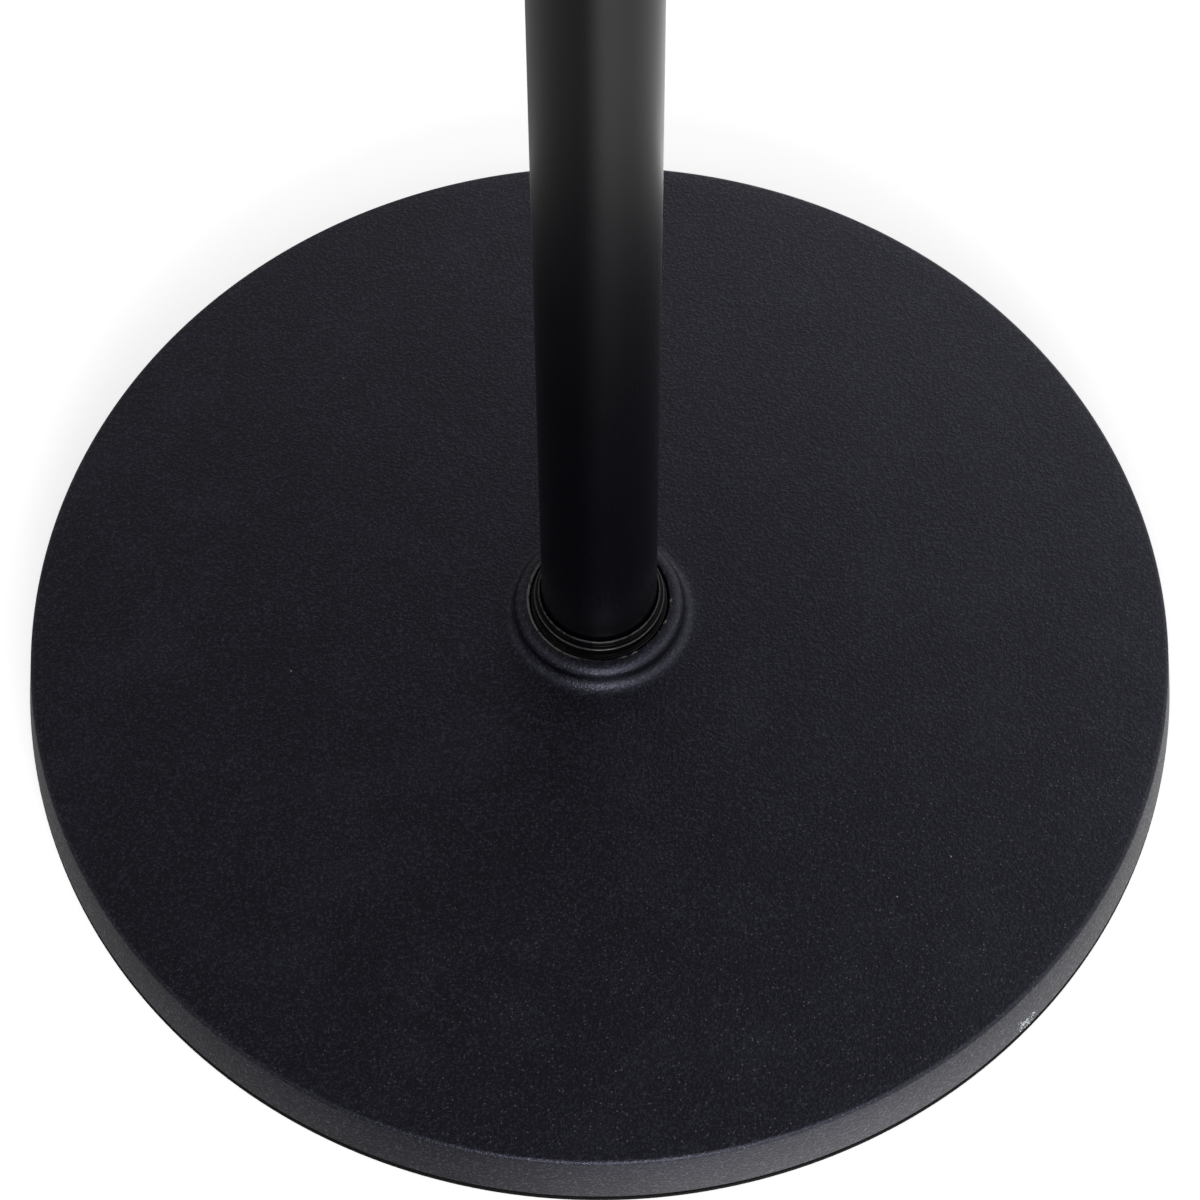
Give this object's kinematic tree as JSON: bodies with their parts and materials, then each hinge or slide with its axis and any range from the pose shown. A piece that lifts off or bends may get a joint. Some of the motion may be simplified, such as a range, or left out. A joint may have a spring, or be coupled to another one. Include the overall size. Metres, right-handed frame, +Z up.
{
  "type": "microphone stand",
  "caption": "Straight floor microphone stand: heavy round base, lower tube, twist clutch and a sliding, turning upper tube that ends in a thread adapter with a knurled lock ring.",
  "frame": {"origin": "centre of the base on the floor", "axes": "+Z up along the tubes; +X and +Y level, with -Y the side that faces the camera of the reference view"},
  "size_m": [0.254, 0.254, 1.0058],
  "materials": {
    "textured_black_casting": "fine textured black powder coat",
    "satin_black_steel": "satin",
    "satin_black_diecast": "satin black coat on die casting",
    "gloss_black_metal": "gloss",
    "gloss_black_plastic": "gloss",
    "black_rubber": "matte",
    "black_nylon": "satin",
    "natural_nylon": "satin",
    "zinc_steel": "satin zinc plate",
    "blackened_steel": "black oxide",
    "nickel_plate": "polished nickel"
  },
  "bodies": {
    "stand": {"base_casting": "textured_black_casting", "base_rubber_ring": "black_rubber", "foot_ferrule": "gloss_black_metal", "foot_insert": "zinc_steel", "base_bolt": "zinc_steel", "base_spring_washer": "zinc_steel", "base_washer": "zinc_steel", "lower_tube": "satin_black_steel", "clutch_housing": "satin_black_diecast", "housing_set_screw_left": "blackened_steel", "housing_set_screw_right": "blackened_steel"},
    "collet": {"clutch_collet": "natural_nylon"},
    "mast": {"upper_tube": "satin_black_steel", "mast_guide": "black_nylon", "mast_guide_pin": "zinc_steel", "top_stud": "zinc_steel", "thread_adapter": "nickel_plate"},
    "closer": {"pressure_ring": "zinc_steel", "slip_washer": "black_nylon"},
    "grip": {"clutch_sleeve": "satin_black_diecast", "clutch_grip": "black_rubber", "clutch_cap": "gloss_black_plastic", "clutch_snap_ring": "blackened_steel"},
    "lock_washer": {"lock_ring_washer": "black_nylon"},
    "lock_ring": {"lock_ring": "zinc_steel"}
  },
  "joints": [
    {"name": "mast_turn", "type": "hinge", "parent": "stand", "child": "collet", "pos_m": [0, 0, 0.8115], "axis": [0, 0, 1], "continuous": true},
    {"name": "mast_slide", "type": "slide", "parent": "collet", "child": "mast", "axis": [0, 0, 1], "range_m": [-0.15, 0.4855]},
    {"name": "clutch_rise", "type": "slide", "parent": "stand", "child": "closer", "axis": [0, 0, 1], "range_m": [0, 0.001]},
    {"name": "clutch_turn", "type": "hinge", "parent": "closer", "child": "grip", "pos_m": [0, 0, 0.815], "axis": [0, 0, 1], "range_deg": [0, 180]},
    {"name": "lock_rise", "type": "slide", "parent": "mast", "child": "lock_washer", "axis": [0, 0, 1], "range_m": [0, 0.0038]},
    {"name": "lock_turn", "type": "hinge", "parent": "lock_washer", "child": "lock_ring", "pos_m": [0, 0, 0.992], "axis": [0, 0, 1], "range_deg": [0, 1440]}
  ],
  "couplings": [
    {"joint": "clutch_rise", "follows": "clutch_turn", "m_per_rad": 0.000318},
    {"joint": "lock_rise", "follows": "lock_turn", "m_per_rad": 0.00014972}
  ]
}
